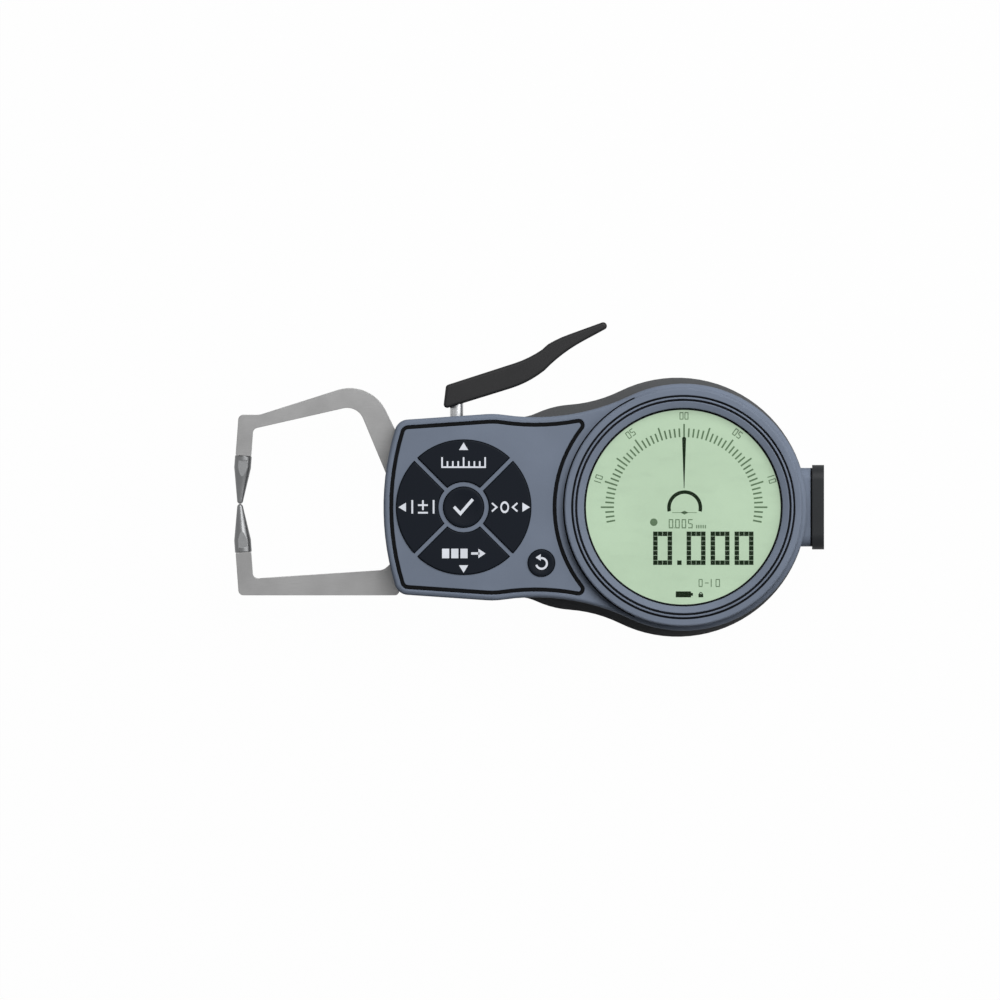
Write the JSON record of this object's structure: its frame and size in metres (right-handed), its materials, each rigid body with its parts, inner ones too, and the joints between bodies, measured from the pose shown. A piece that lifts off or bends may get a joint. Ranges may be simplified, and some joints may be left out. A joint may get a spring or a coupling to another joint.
{
  "type": "digital caliper gauge",
  "caption": "Hand-held electronic caliper gauge with a fixed and a sprung measuring arm, thumb lever, keypad, round display and battery neck.",
  "frame": {"origin": "on the flat rear face, under the centre of the round display", "axes": "+X from the measuring arms towards the battery cap, +Y towards the thumb lever, +Z out of the display"},
  "size_m": [0.1479, 0.0789, 0.0293],
  "materials": {
    "shell_plastic": "fine moulded texture, blue grey",
    "grip_plastic": "soft matt moulding, near black",
    "cap_plastic": "matt moulding, black",
    "lever_plastic": "satin moulding, black",
    "key_plastic": "satin key caps, blue black",
    "arm_steel": "satin ground steel",
    "contact_steel": "turned steel",
    "stem_steel": "turned bright steel",
    "screw_steel": "plated steel",
    "bearing_steel": "ground and polished",
    "spring_steel": "drawn spring steel",
    "seal_rubber": "moulded rubber, black",
    "window_clear": "clear window",
    "lcd_glass": "pale green display face",
    "frame_plastic": "white moulding",
    "chassis_alloy": "milled alloy",
    "scale_alloy": "etched scale",
    "board_laminate": "green laminate",
    "chip_plastic": "black moulded packages",
    "contact_brass": "bright brass",
    "battery_wrap": "plain wrap"
  },
  "bodies": {
    "gauge_body": {"rear_housing": "grip_plastic", "front_housing": "shell_plastic", "housing_seal": "seal_rubber", "housing_screws": "screw_steel", "display_bezel": "shell_plastic", "display_window": "window_clear", "window_gasket": "seal_rubber", "lcd_panel": "lcd_glass", "lcd_frame": "frame_plastic", "backlight": "frame_plastic", "lcd_connector": "seal_rubber", "keypad_plate": "shell_plastic", "keypad_seal": "seal_rubber", "key_mat": "seal_rubber", "main_board": "board_laminate", "board_screws": "screw_steel", "board_chips": "chip_plastic", "read_head": "chip_plastic", "bearing_outer_races": "bearing_steel", "bearing_balls": "bearing_steel", "measuring_spring": "spring_steel", "travel_stops": "stem_steel", "chassis": "chassis_alloy", "chassis_screws": "screw_steel", "bearing_bridge": "chassis_alloy", "bridge_screws": "screw_steel", "fixed_arm": "arm_steel", "fixed_arm_screws": "screw_steel", "fixed_arm_dowels": "stem_steel", "lower_contact": "contact_steel", "battery_sleeve": "shell_plastic", "battery_pack": "battery_wrap", "battery_contacts": "contact_brass", "battery_cap": "cap_plastic", "cap_gasket": "seal_rubber", "cap_screws": "screw_steel"},
    "measuring_arm": {"moving_arm": "arm_steel", "arm_hub": "chassis_alloy", "hub_nut": "contact_brass", "pivot_shaft": "stem_steel", "shaft_retainer": "spring_steel", "bearing_inner_races": "bearing_steel", "scale_sector": "scale_alloy", "upper_contact": "contact_steel", "lever_stem": "stem_steel", "thumb_lever": "lever_plastic"},
    "up_key_body": {"up_key": "key_plastic"},
    "left_key_body": {"left_key": "key_plastic"},
    "down_key_body": {"down_key": "key_plastic"},
    "right_key_body": {"right_key": "key_plastic"},
    "centre_key_body": {"centre_key": "key_plastic"},
    "return_key_body": {"return_key": "key_plastic"}
  },
  "joints": [
    {"name": "arm_swing", "type": "hinge", "parent": "gauge_body", "child": "measuring_arm", "pos_m": [-0.05685, 0, 0.0132], "axis": [0, 0, -1], "range_deg": [0, 11.08], "stiffness_Nm_per_rad": 0.1, "springref_deg": -28.65},
    {"name": "up_key_press", "type": "slide", "parent": "gauge_body", "child": "up_key_body", "axis": [0, 0, -1], "range_m": [0, 0.0006], "stiffness_N_per_m": 1500},
    {"name": "left_key_press", "type": "slide", "parent": "gauge_body", "child": "left_key_body", "axis": [0, 0, -1], "range_m": [0, 0.0006], "stiffness_N_per_m": 1500},
    {"name": "down_key_press", "type": "slide", "parent": "gauge_body", "child": "down_key_body", "axis": [0, 0, -1], "range_m": [0, 0.0006], "stiffness_N_per_m": 1500},
    {"name": "right_key_press", "type": "slide", "parent": "gauge_body", "child": "right_key_body", "axis": [0, 0, -1], "range_m": [0, 0.0006], "stiffness_N_per_m": 1500},
    {"name": "centre_key_press", "type": "slide", "parent": "gauge_body", "child": "centre_key_body", "axis": [0, 0, -1], "range_m": [0, 0.0006], "stiffness_N_per_m": 1500},
    {"name": "return_key_press", "type": "slide", "parent": "gauge_body", "child": "return_key_body", "axis": [0, 0, -1], "range_m": [0, 0.0006], "stiffness_N_per_m": 1500}
  ]
}
